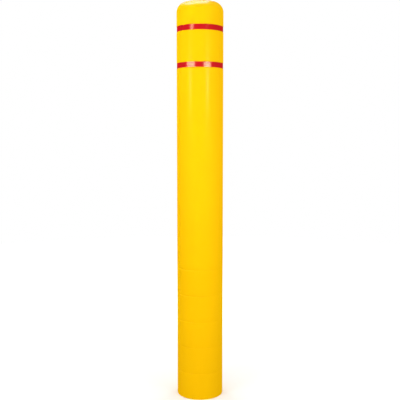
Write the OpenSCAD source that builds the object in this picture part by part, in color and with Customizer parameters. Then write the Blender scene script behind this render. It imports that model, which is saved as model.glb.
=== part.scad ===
// Bollard cover sleeve: a domed plastic tube that drops over a steel post.
// Two reflective tapes lie in moulded recesses near the top, five shallow grooves near the
// bottom mark where the sleeve may be sawn shorter, and foam strips inside hold it on the post.
// Millimetres. +Z is up, the origin is the centre of the bottom rim, and -Y is the front.

/* [Post and fit] */
// Outside diameter of the steel post that the sleeve covers
post_d = 168.3; // [100:0.1:220]
// Gap left between the post and the faces of the foam strips
grip_gap = 0.1; // [0.05:0.05:0.2]

/* [Sleeve] */
// Height from the bottom rim to the top of the dome
sleeve_h = 1524; // [1350:1:2100]
// Wall thickness of the moulding
wall = 3.2; // [2.6:0.1:6]
// Width of the small bevel that breaks each edge of the bottom rim
rim_bevel = 0.6; // [0.2:0.1:1]

/* [Dome] */
// Outside radius of the rounded shoulder
shoulder_r = 38; // [15:1:48]
// Outside radius of the shallow crown inside the shoulder
crown_r = 380; // [160:5:900]

/* [Tape bands] */
// Depth of the middle of the upper band below the top of the dome
upper_band_drop = 106; // [80:1:160]
// Distance between the middles of the two bands
band_spacing = 136; // [60:1:150]
// Width of the reflective tape
tape_w = 20; // [10:0.5:30]
// Thickness of the reflective tape
tape_t = 0.4; // [0.2:0.05:0.6]
// Length by which the tape's ends lap each other at the back
tape_lap = 20; // [8:1:50]
// Depth of the recess that the tape lies in
recess_depth = 1.4; // [1.3:0.1:1.8]
// Clear height left above and below the tape on the recess floor
recess_gap = 0.6; // [0.2:0.1:2]

/* [Trim grooves] */
// Number of grooves that mark where the sleeve may be cut shorter
groove_count = 5; // [1:1:6]
// Distance from the bottom rim to the first groove, and from groove to groove
groove_pitch = 101.6; // [50:0.1:110]
// Width of a groove at the surface
groove_w = 2.4; // [1:0.1:5]
// Depth of a groove
groove_depth = 0.6; // [0.2:0.1:1.2]

/* [Foam strips] */
// Thickness of a strip, squeezed between the post and the sleeve
foam_t = 1.15; // [1:0.05:8]
// Thickness of the adhesive film between a strip and the sleeve's wall
glue_t = 0.3; // [0.2:0.05:0.5]
// Width of a strip around the post
foam_w = 50; // [30:1:60]
// Length of a strip along the post
foam_l = 240; // [100:1:280]
// Clear height between the last trim groove and the lower ring of strips
lower_foam_rise = 52; // [10:1:140]
// Distance from the middle of the lower band down to the upper ring of strips
upper_foam_drop = 62; // [20:1:140]

/* [Hidden] */

$fn = 96;

// Extra length by which every cut passes the surface it opens
overrun = 2;

// Radii from the post outwards
grip_r = post_d / 2 + grip_gap;
inner_r = grip_r + foam_t + glue_t;
outer_r = inner_r + wall;

// The shoulder and the crown are tangent arcs: they meet at this angle from the axis
meet_angle = asin((outer_r - shoulder_r) / (crown_r - shoulder_r));
crown_z = sleeve_h - crown_r;
shoulder_z = crown_z + (crown_r - shoulder_r) * cos(meet_angle);
dome_h = sleeve_h - shoulder_z;

// Part of a recess's depth that shows as a swelling on the inside of the wall
swell_share = 0.55;
swell = recess_depth * swell_share;
recess_floor_r = outer_r - recess_depth;
recess_half_h = tape_w / 2 + recess_gap;
upper_band_z = sleeve_h - upper_band_drop;
lower_band_z = upper_band_z - band_spacing;

// Four strips in each ring, with the two rings turned by half a step from each other
strip_count = 4;
strip_step = 360 / strip_count;
upper_foam_z = lower_band_z - upper_foam_drop - foam_l;
lower_foam_z = groove_count * groove_pitch + lower_foam_rise;

// Direction of the back of the sleeve, where the tapes lap
back_angle = 90;

// Angle that a length takes up when it is bent round a radius
function bend_angle(length, radius) = length / radius * 180 / PI;

// Half of the moulding's section, to one side of the axis, moved inwards by inset:
// a straight tube, the shoulder's arc, and the crown's arc up to where the two meet
module moulding_half(inset) {
    half_w = outer_r - inset;
    meet_r = (crown_r - inset) * sin(meet_angle);
    square([half_w, shoulder_z]);
    intersection() {
        translate([0, crown_z]) circle(r = crown_r - inset);
        translate([0, shoulder_z]) square([meet_r, dome_h]);
    }
    intersection() {
        translate([outer_r - shoulder_r, shoulder_z]) circle(r = shoulder_r - inset);
        translate([meet_r, shoulder_z]) square([half_w - meet_r, dome_h]);
    }
}

// A tape recess: a flat floor between sides that slope at 45 degrees
module recess_cut(z) {
    mouth_half_h = recess_half_h + recess_depth + overrun;
    translate([recess_floor_r, z]) polygon([
        [0, -recess_half_h],
        [recess_depth + overrun, -mouth_half_h],
        [recess_depth + overrun, mouth_half_h],
        [0, recess_half_h]
    ]);
}

// The swelling that a recess leaves on the inside of the wall
module inside_swell(z) {
    root_half_h = recess_half_h + swell + overrun;
    translate([inner_r, z]) polygon([
        [-swell, -recess_half_h],
        [overrun, -root_half_h],
        [overrun, root_half_h],
        [-swell, recess_half_h]
    ]);
}

// A trim groove: a V with its tip in the wall
module groove_cut(z) {
    mouth_half_w = groove_w / 2 * (groove_depth + overrun) / groove_depth;
    translate([outer_r - groove_depth, z]) polygon([
        [0, 0],
        [groove_depth + overrun, -mouth_half_w],
        [groove_depth + overrun, mouth_half_w]
    ]);
}

// The bevel on one edge of the rim: side is 1 for the outer edge and -1 for the inner one
module rim_bevel_cut(edge_r, side) {
    reach = rim_bevel + overrun;
    translate([edge_r, 0]) polygon([
        [side * overrun, -overrun],
        [side * overrun, reach],
        [-side * reach, -overrun]
    ]);
}

// The hollow of the sleeve, open at the bottom
module hollow_half() {
    difference() {
        union() {
            moulding_half(wall);
            translate([0, -overrun]) square([inner_r, overrun + wall]);
        }
        inside_swell(upper_band_z);
        inside_swell(lower_band_z);
    }
}

module sleeve_shell() {
    color("gold")
    rotate_extrude()
    difference() {
        moulding_half(0);
        hollow_half();
        recess_cut(upper_band_z);
        recess_cut(lower_band_z);
        for (i = [1 : groove_count]) groove_cut(i * groove_pitch);
        rim_bevel_cut(outer_r, 1);
        rim_bevel_cut(inner_r, -1);
    }
}

// A tape wrapped once round the recess floor, with a second layer where its ends lap
module reflective_band(z) {
    lap_angle = bend_angle(tape_lap, recess_floor_r);
    color("crimson")
    translate([0, 0, z - tape_w / 2])
    union() {
        rotate_extrude()
            translate([recess_floor_r, 0]) square([tape_t, tape_w]);
        rotate([0, 0, back_angle - lap_angle / 2])
            rotate_extrude(angle = lap_angle)
                translate([recess_floor_r, 0]) square([tape_t + tape_t, tape_w]);
    }
}

module upper_reflective_band() {
    reflective_band(upper_band_z);
}

module lower_reflective_band() {
    reflective_band(lower_band_z);
}

// One foam strip, stuck to the inside of the sleeve with its face to the post
module foam_strip(middle_angle, z) {
    strip_angle = bend_angle(foam_w, grip_r + foam_t);
    color("dimgray")
    translate([0, 0, z])
    rotate([0, 0, middle_angle - strip_angle / 2])
    rotate_extrude(angle = strip_angle)
        translate([grip_r, 0]) square([foam_t, foam_l]);
}

module upper_foam_strip(index) {
    foam_strip((index - 1 / 2) * strip_step, upper_foam_z);
}

module lower_foam_strip(index) {
    foam_strip((index - 1) * strip_step, lower_foam_z);
}

sleeve_shell();
upper_reflective_band();
lower_reflective_band();
for (i = [1 : strip_count]) {
    upper_foam_strip(i);
    lower_foam_strip(i);
}
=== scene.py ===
# %% [markdown]
# # A bollard cover sleeve
#
# The object is a yellow plastic sleeve with a domed top. It drops over a steel post, so that the
# post never needs painting again, and two red reflective tapes make it show up in headlights.
# Foam strips inside take up the gap to the post.
#
# An engineering model of the sleeve already exists, with every piece at its real size. This lesson
# dresses that model: it gives each piece a smooth surface and a real finish, and then builds a
# small photo studio around it. Nothing is moved or resized, so the first step loads the model as a
# fixed frame and keeps its outer box for a comparison at the end.

# %% Load the frame
import math
import bmesh
import bpy
import numpy as np
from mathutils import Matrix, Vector


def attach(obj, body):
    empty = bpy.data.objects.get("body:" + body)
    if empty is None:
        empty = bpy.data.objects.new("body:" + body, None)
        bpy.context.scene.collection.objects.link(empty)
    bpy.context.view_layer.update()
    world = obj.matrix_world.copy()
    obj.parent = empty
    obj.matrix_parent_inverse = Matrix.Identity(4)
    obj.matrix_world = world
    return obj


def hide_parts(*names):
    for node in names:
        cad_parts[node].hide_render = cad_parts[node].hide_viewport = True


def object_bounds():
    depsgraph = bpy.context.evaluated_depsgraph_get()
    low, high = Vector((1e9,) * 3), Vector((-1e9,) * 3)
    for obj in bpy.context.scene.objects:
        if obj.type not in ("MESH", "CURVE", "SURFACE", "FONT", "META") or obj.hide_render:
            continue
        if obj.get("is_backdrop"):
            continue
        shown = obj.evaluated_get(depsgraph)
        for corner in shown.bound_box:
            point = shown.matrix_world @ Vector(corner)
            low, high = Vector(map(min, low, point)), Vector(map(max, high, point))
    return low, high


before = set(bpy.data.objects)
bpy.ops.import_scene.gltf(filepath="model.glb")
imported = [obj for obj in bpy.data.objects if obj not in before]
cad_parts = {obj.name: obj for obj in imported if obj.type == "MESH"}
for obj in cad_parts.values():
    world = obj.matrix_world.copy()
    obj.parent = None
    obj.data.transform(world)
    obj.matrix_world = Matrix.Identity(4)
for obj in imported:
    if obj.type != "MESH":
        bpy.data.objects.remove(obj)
cad_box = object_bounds()
print("pieces in the frame:", ", ".join(sorted(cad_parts)))
print("box of the frame in metres:", [tuple(round(x, 4) for x in corner) for corner in cad_box])

# %% [markdown]
# ## Sizes
#
# Every piece of this object goes round one upright axis. So its main sizes are distances from that
# axis, and heights. They could be typed in again here, but then the dressed pieces might drift away
# from the frame. It is safer to measure the frame's own corners, which lie exactly on its surfaces.

# %% Measure the frame
MM = 0.001
CM = 0.01


def corners_of(node):
    """Corners of a frame piece as an array with one point in each row."""
    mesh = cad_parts[node].data
    flat = np.empty(len(mesh.vertices) * 3, np.float32)
    mesh.vertices.foreach_get("co", flat)
    return flat.reshape(-1, 3).astype(float)


def ring_sizes(node, below=math.inf):
    """Least and greatest distance from the axis, then least and greatest height, of a piece's corners.

    Only corners below the given height count.
    """
    corners = corners_of(node)
    corners = corners[corners[:, 2] < below]
    distance = np.hypot(corners[:, 0], corners[:, 1])
    return distance.min(), distance.max(), corners[:, 2].min(), corners[:, 2].max()


recess_floor_r, lap_r, lower_tape_low, lower_tape_high = ring_sizes("lower_reflective_band")
_, _, upper_tape_low, upper_tape_high = ring_sizes("upper_reflective_band")
inner_r, outer_r, _, _ = ring_sizes("sleeve_shell", below=lower_tape_low / 2)
_, _, _, sleeve_h = ring_sizes("sleeve_shell")

wall = outer_r - inner_r
recess_depth = outer_r - recess_floor_r
tape_t = (lap_r - recess_floor_r) / 2
tape_w = upper_tape_high - upper_tape_low
band_heights = np.array([upper_tape_low + upper_tape_high, lower_tape_low + lower_tape_high]) / 2
print(f"sleeve {sleeve_h / MM:.1f} mm tall, {2 * outer_r / MM:.1f} mm across, wall {wall / MM:.2f} mm")
print(f"tape {tape_w / MM:.1f} x {tape_t / MM:.2f} mm, middles at {np.round(band_heights / MM, 1)} mm")

# %% [markdown]
# ## Camera
#
# The picture is square and the sleeve fills it from top to bottom. The lower rim bulges down and
# the tapes near the top bulge up, so the lens stands between them, about two thirds of the way up,
# and looks slightly down. How strongly the rim and the tapes curve gives the distance, and the
# height of the sleeve in the picture then gives the focal length.

# %% Place the camera
camera_distance = 2.597
camera_height = 1.028
camera_tilt = math.radians(5.684)
sensor_width_mm = 36.0
focal_length_mm = 60.34

camera_data = bpy.data.cameras.new("product_camera")
camera_data.sensor_width = sensor_width_mm
camera_data.lens = focal_length_mm
camera = bpy.data.objects.new("product_camera", camera_data)
camera.location = (0, -camera_distance, camera_height)
camera.rotation_euler = (math.pi / 2 - camera_tilt, 0, 0)
bpy.context.scene.collection.objects.link(camera)
bpy.context.scene.camera = camera
print(f"camera {camera_distance} m in front, {camera_height} m up, {focal_length_mm} mm lens")

# %% [markdown]
# ## Meshes from grids
#
# Blender can spin a profile with its own operators, but these need a mode, a selection and a clean-up
# afterwards. A surface of revolution is only a formula of two numbers, how far along the profile
# and how far round. So we work out all its points at once as a numpy grid, and two small helpers
# turn any such grid into a mesh.

# %% Grid helpers
def grid_faces(rows, columns, wrap_rows=False, wrap_columns=False):
    """Quads of a grid whose point in row i and column j has the index i * columns + j.

    Each quad runs down the rows first and then along the columns. A wrapped side goes on from its
    last row or column to its first.
    """
    i = np.arange(rows if wrap_rows else rows - 1)[:, None]
    j = np.arange(columns if wrap_columns else columns - 1)[None, :]
    below = (i + 1) % rows
    right = (j + 1) % columns
    quads = np.broadcast_arrays(
        i * columns + j, below * columns + j, below * columns + right, i * columns + right
    )
    return np.stack(quads, axis=-1).reshape(-1, 4)


def add_object(name, points, *face_sets):
    """Smooth object at the origin from an array of points and arrays of faces."""
    mesh = bpy.data.meshes.new(name)
    faces = [face for face_set in face_sets for face in face_set.tolist()]
    mesh.from_pydata(points.reshape(-1, 3).tolist(), [], faces)
    mesh.shade_smooth()
    obj = bpy.data.objects.new(name, mesh)
    bpy.context.scene.collection.objects.link(obj)
    return obj


def volume_of(obj):
    """Signed volume inside a closed mesh, which is positive when its faces point outwards."""
    shape = bmesh.new()
    shape.from_mesh(obj.data)
    volume = shape.calc_volume(signed=True)
    shape.free()
    return volume


def dress(obj, node):
    """Lets obj stand for a frame piece: it rides on the one body, and the frame piece is hidden."""
    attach(obj, "root")
    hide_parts(node)
    print(f"{obj.name}: {len(obj.data.vertices)} points, {volume_of(obj) / CM**3:.2f} cm3")


# %% [markdown]
# ## The section of the moulding
#
# The sleeve is one moulding. Cut it in half and its wall is a thin ribbon: over the shallow crown,
# round the shoulder, down the tube, under the rim and back up inside. The tube has two recesses
# for the tapes, which swell the wall on the inside, and five shallow grooves near the bottom that
# show where it may be sawn shorter.
#
# Mould makers leave no sharp corners, because plastic doesn't fill them. So each recess and groove
# is a smooth step here, and the section gets extra points only where it bends.
#
# Smooth shading blends the directions of neighbouring points. So one more point lies outside each
# bend, and the blend ends there, which keeps the long faces of the tube evenly lit. At a recess and
# at the rim that point is close by. At a groove it is further out, because the blend gives the
# groove the soft shoulders that show on the real one as a thin dark line over a bright one.

# %% Section of the sleeve
shoulder_r = 38 * MM
crown_r = 380 * MM
recess_gap = 0.6 * MM
swell_share = 0.55
groove_count = 5
groove_pitch = 101.6 * MM
groove_half_w = 1.2 * MM
groove_depth = 0.6 * MM
rim_round = 0.6 * MM

meet_angle = math.asin((outer_r - shoulder_r) / (crown_r - shoulder_r))
crown_z = sleeve_h - crown_r
shoulder_z = crown_z + (crown_r - shoulder_r) * math.cos(meet_angle)
floor_half_h = tape_w / 2 + recess_gap
mouth_half_h = floor_half_h + recess_depth
groove_heights = groove_pitch * np.arange(1, groove_count + 1)
print(f"the shoulder starts at {shoulder_z / MM:.1f} mm and the grooves lie at {groove_heights / MM} mm")


def smooth_step(x):
    """0 below 0 and 1 above 1, with the curve 3 x squared minus 2 x cubed between them."""
    x = np.clip(x, 0, 1)
    return x * x * (3 - 2 * x)


def band_share(z, flat_half_h, end_half_h):
    """1 beside the flat of a recess, easing to 0 at its ends: the greater of the two bands' values."""
    away = np.abs(z[:, None] - band_heights)
    return smooth_step((end_half_h - away) / (end_half_h - flat_half_h)).max(axis=1)


def groove_share(z):
    """1 in the middle of a groove and 0 at its edges, along one wave of a cosine."""
    away = np.abs(z[:, None] - groove_heights).min(axis=1)
    return (1 + np.cos(np.pi * np.clip(away / groove_half_w, 0, 1))) / 2


def arc(centre_r, centre_z, radius, start, stop, count):
    """Points (r, z) on an arc, at even steps of an angle that is 0 upwards and a quarter turn outwards."""
    angle = np.linspace(start, stop, count)
    return np.stack([centre_r + radius * np.sin(angle), centre_z + radius * np.cos(angle)], axis=-1)


# %% Points of the section
wall_step = 25 * MM
points_per_bend = 11
bend_margin = 0.5 * MM
groove_margin = 7 * MM
crown_points = 28
shoulder_points = 44
rim_points = 6
inner_shoulder_points = 30
inner_crown_points = 20
pole_gap = 0.4 * MM
height_digits = 6
quarter = math.pi / 2

bend = np.linspace(-1, 1, points_per_bend)
groove_reach = groove_half_w + groove_margin
groove = np.append(groove_half_w * bend, [-groove_reach, groove_reach])
edge = np.append(np.linspace(floor_half_h, mouth_half_h, points_per_bend), mouth_half_h + bend_margin)
wall_z = np.concatenate([
    np.arange(rim_round, shoulder_z, wall_step),
    (groove_heights[:, None] + groove).ravel(),
    (band_heights[:, None] + edge).ravel(),
    (band_heights[:, None] - edge).ravel(),
    [rim_round + bend_margin, shoulder_z],
])
wall_z = np.unique(wall_z.round(height_digits))[::-1]
outside_r = outer_r - recess_depth * band_share(wall_z, floor_half_h, mouth_half_h)
outside_r = outside_r - groove_depth * groove_share(wall_z)
swell = recess_depth * swell_share
inside_r = inner_r - swell * band_share(wall_z, floor_half_h, floor_half_h + swell)

crown_start = pole_gap / crown_r
shoulder_centre = (outer_r - shoulder_r, shoulder_z)
outside = np.concatenate([
    arc(0, crown_z, crown_r, crown_start, meet_angle, crown_points)[:-1],
    arc(*shoulder_centre, shoulder_r, meet_angle, quarter, shoulder_points)[:-1],
    np.stack([outside_r, wall_z], axis=-1)[:-1],
])
rim = np.concatenate([
    arc(outer_r - rim_round, rim_round, rim_round, quarter, 2 * quarter, rim_points),
    arc(inner_r + rim_round, rim_round, rim_round, 2 * quarter, 3 * quarter, rim_points),
])
inside = np.concatenate([
    np.stack([inside_r, wall_z], axis=-1)[::-1][1:],
    arc(*shoulder_centre, shoulder_r - wall, quarter, meet_angle, inner_shoulder_points)[1:],
    arc(0, crown_z, crown_r - wall, meet_angle, crown_start, inner_crown_points)[1:],
])
section = np.concatenate([outside, rim, inside])
print(f"section of {len(section)} points, {len(outside)} of them on the outside")

# %% [markdown]
# ## The sleeve
#
# A mould of two halves leaves a hair-fine ridge where they meet. On this sleeve it runs up one
# side, over the dome and down the other side. We could paint it as a bump, but a raised line is
# a shape, so it belongs in the mesh: points close to the plane between the two halves are
# pushed outwards along the section's normal, and the grid has extra columns there to hold the ridge.

# %% Columns of the sleeve
ridge_height = 0.2 * MM
ridge_half_w = 0.5 * MM
ridge_reach = 3 * ridge_half_w
even_columns = 160
angle_digits = 7


def section_normals(points):
    """Unit normals of a section that runs with its outside on the left: the tangent turned a quarter."""
    tangent = np.gradient(points, axis=0)
    normal = np.stack([-tangent[:, 1], tangent[:, 0]], axis=-1)
    return normal / np.linalg.norm(normal, axis=1, keepdims=True)


def turn(points_r, points_z, angles):
    """Grid of points: a section's distance and height, with its distance turned to each angle."""
    return np.stack([points_r * np.cos(angles), points_r * np.sin(angles), points_z + 0 * angles], axis=-1)


even = np.linspace(0, 2 * np.pi, even_columns, endpoint=False)
near_ridge = ridge_reach / outer_r * bend
angles = np.concatenate([even, near_ridge, np.pi + near_ridge])
angles = np.unique((angles % (2 * np.pi)).round(angle_digits))
print(f"{len(angles)} columns, {even_columns} of them evenly spaced and the others beside the ridge")

# %% Sleeve shell
on_outside = np.arange(len(section)) < len(outside)
ridge_share = on_outside * (1 - band_share(section[:, 1], floor_half_h, mouth_half_h))
from_plane = section[:, :1] * np.abs(np.sin(angles))
ridge = ridge_height * ridge_share[:, None] * np.exp(-((from_plane / ridge_half_w) ** 2))
normals = section_normals(section)
shell_grid = turn(
    section[:, :1] + ridge * normals[:, :1], section[:, 1:] + ridge * normals[:, 1:], angles
)

rows, columns = shell_grid.shape[:2]
column = np.arange(columns)
next_column = (column + 1) % columns
last_row = (rows - 1) * columns
outer_pole = rows * columns
inner_pole = outer_pole + 1
poles = np.array([[0, 0, sleeve_h], [0, 0, sleeve_h - wall]])
sleeve_shell = add_object(
    "sleeve_shell_skin",
    np.concatenate([shell_grid.reshape(-1, 3), poles]),
    grid_faces(rows, columns, wrap_columns=True),
    np.stack([np.full(columns, outer_pole), column, next_column], axis=-1),
    np.stack([last_row + column, np.full(columns, inner_pole), last_row + next_column], axis=-1),
)
dress(sleeve_shell, "sleeve_shell")

# %% [markdown]
# ## The reflective tapes
#
# Each tape is one strip of red reflective sheeting, wrapped once round the floor of its recess. At
# the back its end laps over its start. There the strip climbs over its own first edge in a short
# ramp, and its cut end makes a clean step. A ring with a thicker patch would be simpler, but the
# ramp and the step are what a person sees from behind, so the ring's outside follows them.
#
# As on the sleeve, a row of points lies close to each rounded edge and the blend of smooth shading
# ends there: the face itself is flat and mirrors evenly.

# %% Lap of the tape
lap_length = 20 * MM
ramp_length = 3 * MM
cut_length = 0.01 * MM
back_angle = quarter

lap_half = lap_length / recess_floor_r / 2
ramp = ramp_length / recess_floor_r
cut = cut_length / recess_floor_r
lap_start = back_angle - lap_half
lap_end = back_angle + lap_half
print(f"the tapes lap from {math.degrees(lap_start):.1f} to {math.degrees(lap_end):.1f} degrees")


def lap_share(angle):
    """How much of a second layer lies at an angle: up a smooth ramp, level, then a sheer drop."""
    climb = smooth_step((angle - lap_start) / ramp)
    drop = np.clip((lap_end - angle) / cut, 0, 1)
    return climb * drop


# %% Tape bands
tape_edge_round = 0.08 * MM
tape_edge_margin = 3 * tape_edge_round
tape_edge_points = 3
tape_face_points = 5
ramp_points = 9
tape_columns = 192
tape_sharp_angle = math.radians(35)


def tape_section(middle_z):
    """Closed section as points (r, z), and each point's share of the tape's thickness.

    It goes round the upper edge, down the face, round the lower edge and up the back.
    """
    half = tape_w / 2
    face_r = recess_floor_r + tape_t
    upper_edge = arc(
        face_r - tape_edge_round, half - tape_edge_round, tape_edge_round, 0, quarter, tape_edge_points
    )
    flat_half = half - tape_edge_margin
    face_z = np.linspace(flat_half, -flat_half, tape_face_points)
    face = np.stack([face_r + 0 * face_z, face_z], axis=-1)
    lower_edge = upper_edge[::-1] * [1, -1]
    back = np.array([[recess_floor_r, -half], [recess_floor_r, half]])
    front = np.concatenate([upper_edge, face, lower_edge])
    share = np.concatenate([np.ones(len(front)), np.zeros(len(back))])
    return np.concatenate([front, back]) + [0, middle_z], share


def tape_band(name, node, middle_z):
    """Ring whose face stands out by one thickness of tape, and by two where its end laps its start."""
    outline, share = tape_section(middle_z)
    even = np.linspace(0, 2 * np.pi, tape_columns, endpoint=False)
    on_ramp = lap_start + ramp * np.linspace(0, 1, ramp_points)
    angle = np.unique(np.concatenate([even, on_ramp, [lap_end - cut, lap_end]]))
    lifted = outline[:, :1] + tape_t * share[:, None] * lap_share(angle)
    grid = turn(lifted, outline[:, 1:], angle)
    faces = grid_faces(*grid.shape[:2], wrap_rows=True, wrap_columns=True)
    band = add_object(name, grid, faces)
    band.data.set_sharp_from_angle(angle=tape_sharp_angle)
    dress(band, node)
    return band


upper_band = tape_band("upper_band_tape", "upper_reflective_band", band_heights[0])
lower_band = tape_band("lower_band_tape", "lower_reflective_band", band_heights[1])

# %% [markdown]
# ## The foam strips
#
# Eight strips of closed-cell foam are stuck inside the tube, in two rings of four. Each is cut from
# a sheet, so its edges are square to the wall and only a little soft, and its face is pitted where
# the knife went through the cells. A film of adhesive holds it on the wall. A strip is too thin to
# swell like a cushion, so no simulation is needed: a face and a back, each a bent grid, are joined
# round their border.

# %% Strip helpers
def slab(front, back):
    """Points and quads of a closed slab: two grids of the same shape, joined round their border."""
    rows, columns = front.shape[:2]
    count = rows * columns
    index = np.arange(count).reshape(rows, columns)
    border = np.concatenate([index[0, :-1], index[:-1, -1], index[-1, :0:-1], index[:0:-1, 0]])
    after = np.roll(border, -1)
    sides = np.stack([border, after, after + count, border + count], axis=-1)
    face = grid_faces(rows, columns)
    points = np.concatenate([front.reshape(-1, 3), back.reshape(-1, 3)])
    return points, np.concatenate([face, face[:, ::-1] + count, sides])


def strip_place(node):
    """Where a strip lies: face and back distance, middle angle and height, half width and half length.

    The half width is the length of an arc on the face.
    """
    corners = corners_of(node)
    face_r, back_r, low, high = ring_sizes(node)
    middle_angle = math.atan2(corners[:, 1].mean(), corners[:, 0].mean())
    away = np.arctan2(corners[:, 1], corners[:, 0]) - middle_angle
    half_w = face_r * np.abs((away + np.pi) % (2 * np.pi) - np.pi).max()
    return face_r, back_r, middle_angle, (low + high) / 2, half_w, (high - low) / 2


# %% Foam slabs
foam_edge_round = 0.35 * MM
foam_edge_margin = 2 * foam_edge_round
foam_edge_points = 5
foam_step_across = 1.6 * MM
foam_step_along = 2.4 * MM
foam_pit_depth = 0.06 * MM
station_digits = 7
pits = np.random.default_rng(seed=7)


def foam_stations(half, step):
    """Distances from -half to half: even steps, and close ones where the edge is rounded."""
    close = half - foam_edge_round * (1 - np.cos(np.linspace(0, quarter, foam_edge_points)))
    flat_half = half - foam_edge_margin
    stations = np.concatenate([-close, np.arange(-flat_half, flat_half, step), close])
    return np.unique(stations.round(station_digits))


def foam_edge_drop(inside_edge):
    """How far a quarter-round edge has fallen below the face, this far inside the edge."""
    short = np.clip(foam_edge_round - inside_edge, 0, foam_edge_round)
    return foam_edge_round - np.sqrt(foam_edge_round**2 - short**2)


def foam_slab(face_r, back_r, middle_angle, middle_z, half_w, half_l):
    """Bent slab: each point of its face lies lower by the rounded edge's drop and a random pit."""
    across = foam_stations(half_w, foam_step_across)[:, None]
    along = foam_stations(half_l, foam_step_along)[None, :]
    inside_edge = np.minimum(half_w - np.abs(across), half_l - np.abs(along))
    pit = foam_pit_depth * pits.random(inside_edge.shape) * (inside_edge > foam_edge_margin)
    angle = middle_angle + across / face_r
    front = turn(face_r + foam_edge_drop(inside_edge) + pit, middle_z + along, angle)
    back = turn(back_r + 0 * inside_edge, middle_z + along, angle)
    return slab(front, back)


# %% Foam strips
foam_sharp_angle = math.radians(50)
film_inset = 1.5 * MM
film_clearance = 0.02 * MM
film_points_across = 25


def film_slab(face_r, back_r, middle_angle, middle_z, half_w, half_l):
    """Thin bent slab between a strip's back and the wall, clear of both and a little smaller."""
    across = np.linspace(-1, 1, film_points_across)[:, None] * (half_w - film_inset)
    along = np.array([[-1, 1]]) * (half_l - film_inset)
    angle = middle_angle + across / face_r + 0 * along
    front = turn(back_r + film_clearance + 0 * angle, middle_z + along, angle)
    back = turn(inner_r - film_clearance + 0 * angle, middle_z + along, angle)
    return slab(front, back)


def foam_strip(node):
    """Strip of foam and its film of adhesive as one object, whose film takes the second material."""
    place = strip_place(node)
    foam_points, foam_faces = foam_slab(*place)
    film_points, film_faces = film_slab(*place)
    strip = add_object(
        node + "_foam",
        np.concatenate([foam_points, film_points]),
        foam_faces,
        film_faces + len(foam_points),
    )
    strip.data.set_sharp_from_angle(angle=foam_sharp_angle)
    is_film = np.arange(len(strip.data.polygons)) >= len(foam_faces)
    strip.data.polygons.foreach_set("material_index", is_film.astype(np.int32))
    dress(strip, node)
    return strip


foam_strips = [foam_strip(node) for node in sorted(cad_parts) if "foam_strip" in node]

# %% [markdown]
# ## Shared surface effects
#
# The finishes have two things in common. None is perfectly even in tone, because pigment and
# handling make faint clouds. And plastic, tape and foam all have a fine grain. Each effect is built
# once as a node group, and then placed in each material that needs it, with sizes of its own.
# The pattern is read from object coordinates, which are metres on the real sleeve.

# %% Node helpers
def add_node(tree, kind, inputs=None, **settings):
    """Adds a node, sets its properties, and fills its inputs with values or with links from sockets."""
    made = tree.nodes.new(kind)
    for name, value in settings.items():
        setattr(made, name, value)
    for name, value in (inputs or {}).items():
        if isinstance(value, bpy.types.NodeSocket):
            tree.links.new(value, made.inputs[name])
        else:
            made.inputs[name].default_value = value
    return made


def mix_colours(tree, factor, first, second):
    """Colour that goes from the first, where factor is 0, to the second, where it is 1.

    A Mix node has sockets for every kind of data, so its colours are picked by their numbers.
    """
    mix = add_node(tree, "ShaderNodeMix", {0: factor, 6: first, 7: second}, data_type="RGBA")
    return mix.outputs[2]


def counted_in(tree, position, size):
    """Position counted in steps of a size: the vector times one over that size."""
    per_metre = add_node(tree, "ShaderNodeMath", {0: 1.0, 1: size}, operation="DIVIDE").outputs[0]
    return add_node(
        tree, "ShaderNodeVectorMath", {0: position, "Scale": per_metre}, operation="SCALE"
    ).outputs[0]


def new_group(name, inputs, outputs):
    """Empty shader node group with these inputs, as (name, socket type, value), and outputs."""
    group = bpy.data.node_groups.new(name, "ShaderNodeTree")
    for label, kind, value in inputs:
        group.interface.new_socket(label, in_out="INPUT", socket_type=kind).default_value = value
    for label, kind in outputs:
        group.interface.new_socket(label, in_out="OUTPUT", socket_type=kind)
    return group, group.nodes.new("NodeGroupInput").outputs, group.nodes.new("NodeGroupOutput")


# %% Cloudy tone group
cloudy_tone, given, result = new_group(
    "cloudy_tone",
    [
        ("Position", "NodeSocketVector", (0, 0, 0)),
        ("Cloud Size", "NodeSocketFloat", 0.1),
        ("Light Tone", "NodeSocketColor", (1, 1, 1, 1)),
        ("Dark Tone", "NodeSocketColor", (1, 1, 1, 1)),
    ],
    [("Tone", "NodeSocketColor"), ("Cloud", "NodeSocketFloat")],
)
in_clouds = counted_in(cloudy_tone, given["Position"], given["Cloud Size"])
clouds = add_node(cloudy_tone, "ShaderNodeTexNoise", {"Vector": in_clouds, "Scale": 1.0, "Detail": 3.0})
cloud = add_node(
    cloudy_tone, "ShaderNodeMapRange", {"Value": clouds.outputs[0], "From Min": 0.3, "From Max": 0.7}
)
tone = mix_colours(cloudy_tone, cloud.outputs[0], given["Dark Tone"], given["Light Tone"])
cloudy_tone.links.new(tone, result.inputs["Tone"])
cloudy_tone.links.new(cloud.outputs[0], result.inputs["Cloud"])
print("cloudy_tone:", len(cloudy_tone.nodes), "nodes")

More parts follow.
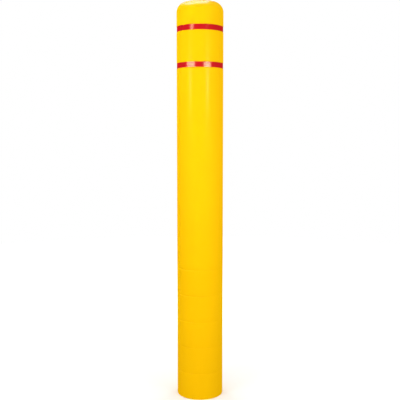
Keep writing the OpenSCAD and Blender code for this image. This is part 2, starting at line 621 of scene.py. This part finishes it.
# %% Fine grain group
fine_grain, given, result = new_group(
    "fine_grain",
    [
        ("Position", "NodeSocketVector", (0, 0, 0)),
        ("Grain Size", "NodeSocketFloat", 0.002),
        ("Upright Stretch", "NodeSocketFloat", 1.0),
    ],
    [("Height", "NodeSocketFloat")],
)
upright = add_node(fine_grain, "ShaderNodeMath", {0: 1.0, 1: given["Upright Stretch"]}, operation="DIVIDE")
squeeze = add_node(fine_grain, "ShaderNodeCombineXYZ", {"X": 1.0, "Y": 1.0, "Z": upright.outputs[0]})
squeezed = add_node(
    fine_grain, "ShaderNodeVectorMath", {0: given["Position"], 1: squeeze.outputs[0]}, operation="MULTIPLY"
)
in_grains = counted_in(fine_grain, squeezed.outputs[0], given["Grain Size"])
grain = add_node(fine_grain, "ShaderNodeTexNoise", {"Vector": in_grains, "Scale": 1.0, "Detail": 2.0})
fine_grain.links.new(grain.outputs[0], result.inputs["Height"])
print("fine_grain:", len(fine_grain.nodes), "nodes")

# %% Material helpers
def new_material(name):
    """Node material with its Principled shader, and the object coordinates that its patterns read."""
    material = bpy.data.materials.new(name)
    material.use_nodes = True
    tree = material.node_tree
    shader = tree.nodes["Principled BSDF"]
    position = tree.nodes.new("ShaderNodeTexCoord").outputs["Object"]
    return material, tree, shader, position


def use_group(tree, group, inputs):
    """Places a node group in a material and returns its outputs."""
    return add_node(tree, "ShaderNodeGroup", inputs, node_tree=group).outputs


def smooth_range(tree, value, start, stop, first, last):
    """Socket that goes from first, where value is at start, to last at stop, along a smooth step."""
    return add_node(
        tree,
        "ShaderNodeMapRange",
        {"Value": value, "From Min": start, "From Max": stop, "To Min": first, "To Max": last},
        interpolation_type="SMOOTHSTEP",
    ).outputs[0]


def add_bump(tree, shader, height, depth):
    """Lets a height between 0 and 1 stand out from the surface by depth."""
    bump = add_node(tree, "ShaderNodeBump", {"Height": height, "Strength": 1.0, "Distance": depth})
    tree.links.new(bump.outputs["Normal"], shader.inputs["Normal"])


def set_finish(shader, values):
    """Sets the shader's own sockets to values that are the same all over the surface."""
    for name, value in values.items():
        shader.inputs[name].default_value = value


# %% [markdown]
# ## Moulded plastic
#
# The sleeve is polyethylene, coloured right through, so scratches never show another colour. Its
# skin is satin: it copies the mould, with a faint orange peel and long upright draw lines. Two
# grains of different size and stretch make those, and the clouds vary the tone by very little.
#
# The shader's own specular layer would mirror the whole white room and veil the yellow. So it is
# off, and in a thin share of clear coat only what is far brighter than the room can be seen. The
# shoulder gets a larger share, as if its part of the mould were polished. The flat crown goes back
# to the tube's share, because from above it would mirror the lamp over it as one pale disc. A trace
# of metal in the base tints the rest of the gloss with the plastic's own colour.

# %% Plastic material
peel_size = 3 * MM
draw_line_size = 7 * MM
draw_line_stretch = 40.0
skin_depth = 0.01 * MM
polish_low_z = shoulder_z + 8 * MM
polish_high_z = shoulder_z + 24 * MM
crown_edge_z = crown_z + crown_r * math.cos(meet_angle)
crown_plain_z = crown_edge_z + 1.5 * MM
tube_coat = 0.0075
shoulder_coat = 0.027
coat_ior = 3.5

moulded_plastic, tree, shader, position = new_material("moulded_plastic")
clouds = use_group(tree, cloudy_tone, {
    "Position": position,
    "Cloud Size": 160 * MM,
    "Light Tone": (0.95, 0.56, 0.0015, 1),
    "Dark Tone": (0.935, 0.54, 0.0015, 1),
})
peel = use_group(tree, fine_grain, {"Position": position, "Grain Size": peel_size})
draw_lines = use_group(tree, fine_grain, {
    "Position": position,
    "Grain Size": draw_line_size,
    "Upright Stretch": draw_line_stretch,
})
skin = add_node(tree, "ShaderNodeMath", {0: peel["Height"], 1: draw_lines["Height"]}, operation="ADD")
satin = add_node(tree, "ShaderNodeMapRange", {"Value": clouds["Cloud"], "To Min": 0.33, "To Max": 0.27})
height = add_node(tree, "ShaderNodeSeparateXYZ", {0: position}).outputs["Z"]
rising_coat = smooth_range(tree, height, polish_low_z, polish_high_z, tube_coat, shoulder_coat)
coat = smooth_range(tree, height, crown_edge_z, crown_plain_z, rising_coat, tube_coat)
tree.links.new(clouds["Tone"], shader.inputs["Base Color"])
tree.links.new(satin.outputs[0], shader.inputs["Roughness"])
tree.links.new(coat, shader.inputs["Coat Weight"])
add_bump(tree, shader, skin.outputs[0], skin_depth)
set_finish(shader, {
    "Specular IOR Level": 0.0,
    "Metallic": 0.0018,
    "Coat IOR": coat_ior,
    "Coat Roughness": 0.22,
})
sleeve_shell.data.materials.append(moulded_plastic)
print("moulded_plastic:", len(tree.nodes), "nodes")

# %% [markdown]
# ## Reflective tape
#
# The tape is a clear glossy film over a red layer of tiny glass beads. The beads make the red layer
# uneven, and the film mirrors the lamps as bright bars. So the beads are a grain in the roughness
# of the red base, and the film is the shader's clear coat, with the specular layer off as before.

# %% Tape material
bead_size = 0.5 * MM

red_tape, tree, shader, position = new_material("reflective_tape")
clouds = use_group(tree, cloudy_tone, {
    "Position": position,
    "Cloud Size": 20 * MM,
    "Light Tone": (0.54, 0.0015, 0.006, 1),
    "Dark Tone": (0.5, 0.001, 0.005, 1),
})
beads = use_group(tree, fine_grain, {"Position": position, "Grain Size": bead_size})
beaded = add_node(tree, "ShaderNodeMapRange", {"Value": beads["Height"], "To Min": 0.4, "To Max": 0.6})
tree.links.new(clouds["Tone"], shader.inputs["Base Color"])
tree.links.new(beaded.outputs[0], shader.inputs["Roughness"])
set_finish(shader, {
    "Specular IOR Level": 0.0,
    "Coat Weight": 0.036,
    "Coat IOR": coat_ior,
    "Coat Roughness": 0.18,
})
for band in (upper_band, lower_band):
    band.data.materials.append(red_tape)
print("reflective_tape:", len(tree.nodes), "nodes")

# %% [markdown]
# ## Foam and adhesive
#
# Closed-cell foam is dull and dark, and its cut face shows the cells as small pits. The adhesive
# film behind it is a pale amber, and only its edge can be seen.

# %% Foam materials
cell_size = 0.7 * MM
cell_depth = 0.25 * MM

cell_foam, tree, shader, position = new_material("closed_cell_foam")
clouds = use_group(tree, cloudy_tone, {
    "Position": position,
    "Cloud Size": 12 * MM,
    "Light Tone": (0.055, 0.055, 0.06, 1),
    "Dark Tone": (0.035, 0.035, 0.04, 1),
})
cells = use_group(tree, fine_grain, {"Position": position, "Grain Size": cell_size})
tree.links.new(clouds["Tone"], shader.inputs["Base Color"])
add_bump(tree, shader, cells["Height"], cell_depth)
set_finish(shader, {"Roughness": 0.9, "Specular IOR Level": 0.2})

adhesive, tree, shader, position = new_material("adhesive_film")
clouds = use_group(tree, cloudy_tone, {
    "Position": position,
    "Cloud Size": 15 * MM,
    "Light Tone": (0.72, 0.62, 0.42, 1),
    "Dark Tone": (0.62, 0.52, 0.34, 1),
})
tree.links.new(clouds["Tone"], shader.inputs["Base Color"])
set_finish(shader, {"Roughness": 0.45})
for strip in foam_strips:
    strip.data.materials.append(cell_foam)
    strip.data.materials.append(adhesive)
print("foam and film on", len(foam_strips), "strips")

# %% [markdown]
# ## The white room
#
# The picture's background is pure white. More light would bleach the sleeve, so the white is only
# what the camera sees: Light Path tells a camera ray, a reflection and a ray through glass from
# the soft light that bounces about. Those three see white, and the rest sees a plain room.

# %% World
room_light = 0.895


def seen_directly(tree):
    """Socket that is 1 for camera rays, reflections and rays through glass, and 0 for other light."""
    path = tree.nodes.new("ShaderNodeLightPath").outputs
    either = add_node(
        tree, "ShaderNodeMath", {0: path["Is Camera Ray"], 1: path["Is Glossy Ray"]}, operation="MAXIMUM"
    )
    every = add_node(
        tree, "ShaderNodeMath", {0: either.outputs[0], 1: path["Is Transmission Ray"]}, operation="MAXIMUM"
    )
    return every.outputs[0]


world = bpy.data.worlds.new("white_room")
world.use_nodes = True
tree = world.node_tree
strength = add_node(
    tree, "ShaderNodeMapRange", {"Value": seen_directly(tree), "To Min": room_light, "To Max": 1.0}
)
tree.nodes["Background"].inputs["Color"].default_value = (1, 1, 1, 1)
tree.links.new(strength.outputs[0], tree.nodes["Background"].inputs["Strength"])
bpy.context.scene.world = world
print("white room with soft light of strength", room_light)

# %% [markdown]
# ## The floor
#
# A white floor would throw cold light up at the sleeve's foot, but in the picture the lower tube
# turns a deeper, warmer yellow. So the floor has two tones, told apart as in the room: what is seen
# is white, and the soft light that bounces off it is dimmer and warm. Around the foot the floor
# shows its real shading, so the sleeve's shadow stays on it. Further out it glows a little, and that
# evens it out with the white background.

# %% Floor
floor_radius = 4.0
floor_rings = [0.05, 0.2, 0.6, 1.5, floor_radius]
floor_columns = 96

around = np.linspace(0, 2 * np.pi, floor_columns, endpoint=False)
rings = np.array(floor_rings)[:, None]
floor_grid = turn(rings, 0 * rings, around)
floor = add_object(
    "studio_floor",
    floor_grid,
    grid_faces(*floor_grid.shape[:2], wrap_columns=True),
    np.arange(floor_columns)[None, :],
)
floor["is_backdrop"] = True
print("floor of", floor_radius, "m radius")

# %% Floor paint
floor_bounce = (0.43, 0.31, 0.25, 1)
floor_white = (0.85, 0.85, 0.85, 1)
glow_start = 0.4
glow_end = 1.2
glow_at_foot = 0.03
glow_far = 0.3

floor_paint, tree, shader, position = new_material("studio_floor")
seen = seen_directly(tree)
floor_tone = mix_colours(tree, seen, floor_bounce, floor_white)
away = add_node(tree, "ShaderNodeVectorMath", {0: position}, operation="LENGTH")
sweep = smooth_range(tree, away.outputs["Value"], glow_start, glow_end, glow_at_foot, glow_far)
glow = add_node(tree, "ShaderNodeMath", {0: seen, 1: sweep}, operation="MULTIPLY")
tree.links.new(floor_tone, shader.inputs["Base Color"])
tree.links.new(glow.outputs[0], shader.inputs["Emission Strength"])
set_finish(shader, {"Emission Color": (1, 1, 1, 1), "Roughness": 1.0, "Specular IOR Level": 0.0})
floor.data.materials.append(floor_paint)
print("studio_floor:", len(tree.nodes), "nodes")

# %% [markdown]
# ## Lamps
#
# Two softboxes light the sleeve from the front left and the front right, a low one fills its foot
# and two more fill its back. They give soft light only, because a softbox that is also mirrored would
# show as a hard patch.
#
# What the picture mirrors is something else: bright bars on the tapes, two faint streaks down the
# tube and a pale patch on the dome. Each is the reflection of a card. A card is far brighter than a
# softbox, so it is seen by gloss only and adds nothing to the soft light. Tape and plastic don't
# mirror alike, so light linking gives each card the pieces that may mirror it.

# %% Lamp helpers
white = (1.0, 1.0, 1.0)
warm = (1.0, 0.97, 0.62)
cool = (0.5, 0.5, 1.0)
box = "RECTANGLE"
dish = "ELLIPSE"


def beside(azimuth, distance, height):
    """Place at a distance from the axis: azimuth 0 is the camera's side, and 90 is +X."""
    turned = math.radians(azimuth)
    return Vector((distance * math.sin(turned), -distance * math.cos(turned), height))


def on_axis(height):
    """Place on the sleeve's axis."""
    return Vector((0, 0, height))


def lamp(name, shape, place, aim, size, radiance, colour=white, mirrored_in=()):
    """Flat lamp whose power is its radiance times its area times pi.

    With pieces to be mirrored in, it is a card that only those pieces' gloss can see. Otherwise it
    gives soft light, and is sampled in one way only, because a mix of two ways would shift its
    brightness beside linked cards.
    """
    is_card = len(mirrored_in) > 0
    data = bpy.data.lights.new(name, "AREA")
    data.shape = shape
    data.size, data.size_y = size
    area = size[0] * size[1] * (math.pi / 4 if shape == dish else 1)
    data.energy = radiance * area * math.pi
    data.color = colour
    data.cycles.use_multiple_importance_sampling = is_card
    obj = bpy.data.objects.new(name, data)
    obj.location = place
    obj.rotation_euler = (aim - place).to_track_quat("-Z", "Y").to_euler()
    obj.visible_camera = False
    obj.visible_glossy = is_card
    obj.visible_diffuse = not is_card
    bpy.context.scene.collection.objects.link(obj)
    if is_card:
        receivers = bpy.data.collections.new(name + "_receivers")
        for piece in mirrored_in:
            receivers.objects.link(piece)
        obj.light_linking.receiver_collection = receivers
    print(f"{name}: {data.energy:.1f} W")


# %% Soft lamps
near = 1.3
far = 2.3
softbox = (0.5, 0.7)
fill = (0.8, 0.8)

lamp("softbox_left", box, beside(-40, near, height=1.5), on_axis(1.3), softbox, radiance=5.7)
lamp("softbox_right", box, beside(40, near, height=1.0), on_axis(1.0), softbox, radiance=3.7)
lamp("fill_low", box, beside(-10, far, height=0.5), on_axis(0.5), fill, radiance=4.75)
lamp("fill_back_left", box, beside(-150, far, height=1.4), on_axis(1.0), fill, radiance=7)
lamp("fill_back_right", box, beside(150, far, height=1.4), on_axis(1.0), fill, radiance=7)

# %% Cards
def level_card(name, azimuth, height, size, radiance, piece):
    """Round warm card at the height of what it aims at, mirrored in one piece."""
    lamp(name, dish, beside(azimuth, far, height), on_axis(height), size, radiance, warm, [piece])


level_card("lower_bar_left", azimuth=-46, height=1.48, size=(1.9, 0.46), radiance=50, piece=lower_band)
level_card("lower_bar_right", azimuth=36, height=1.42, size=(1.65, 0.2), radiance=110, piece=lower_band)
level_card("upper_bar_left", azimuth=-39.5, height=1.77, size=(0.75, 0.3), radiance=37, piece=upper_band)
level_card("upper_bar_right", azimuth=34, height=1.77, size=(0.5, 0.3), radiance=4, piece=upper_band)
level_card("streak_left", azimuth=-48, height=1.38, size=(0.36, 0.14), radiance=122, piece=sleeve_shell)
level_card("streak_right", azimuth=37, height=1.38, size=(0.56, 0.14), radiance=108, piece=sleeve_shell)

above_dome = Vector((-0.275, 0.54, 2.5))
straight_below = Vector((above_dome.x, above_dome.y, 0))
lamp(
    "card_above",
    box,
    above_dome,
    straight_below,
    size=(1.35, 1.92),
    radiance=42,
    colour=cool,
    mirrored_in=[sleeve_shell],
)

# %% [markdown]
# ## Finish
#
# The view transform is set to Standard, so that colours come out as they were written. The last
# lines compare the dressed sleeve's box with the frame's box.

# %% Check the size and finish
bpy.context.scene.view_settings.view_transform = "Standard"
visual_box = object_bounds()
growth = [v - c for v, c in zip(visual_box[1] - visual_box[0], cad_box[1] - cad_box[0])]
print("the dressed sleeve is larger by", [f"{x / MM:.2f} mm" for x in growth])
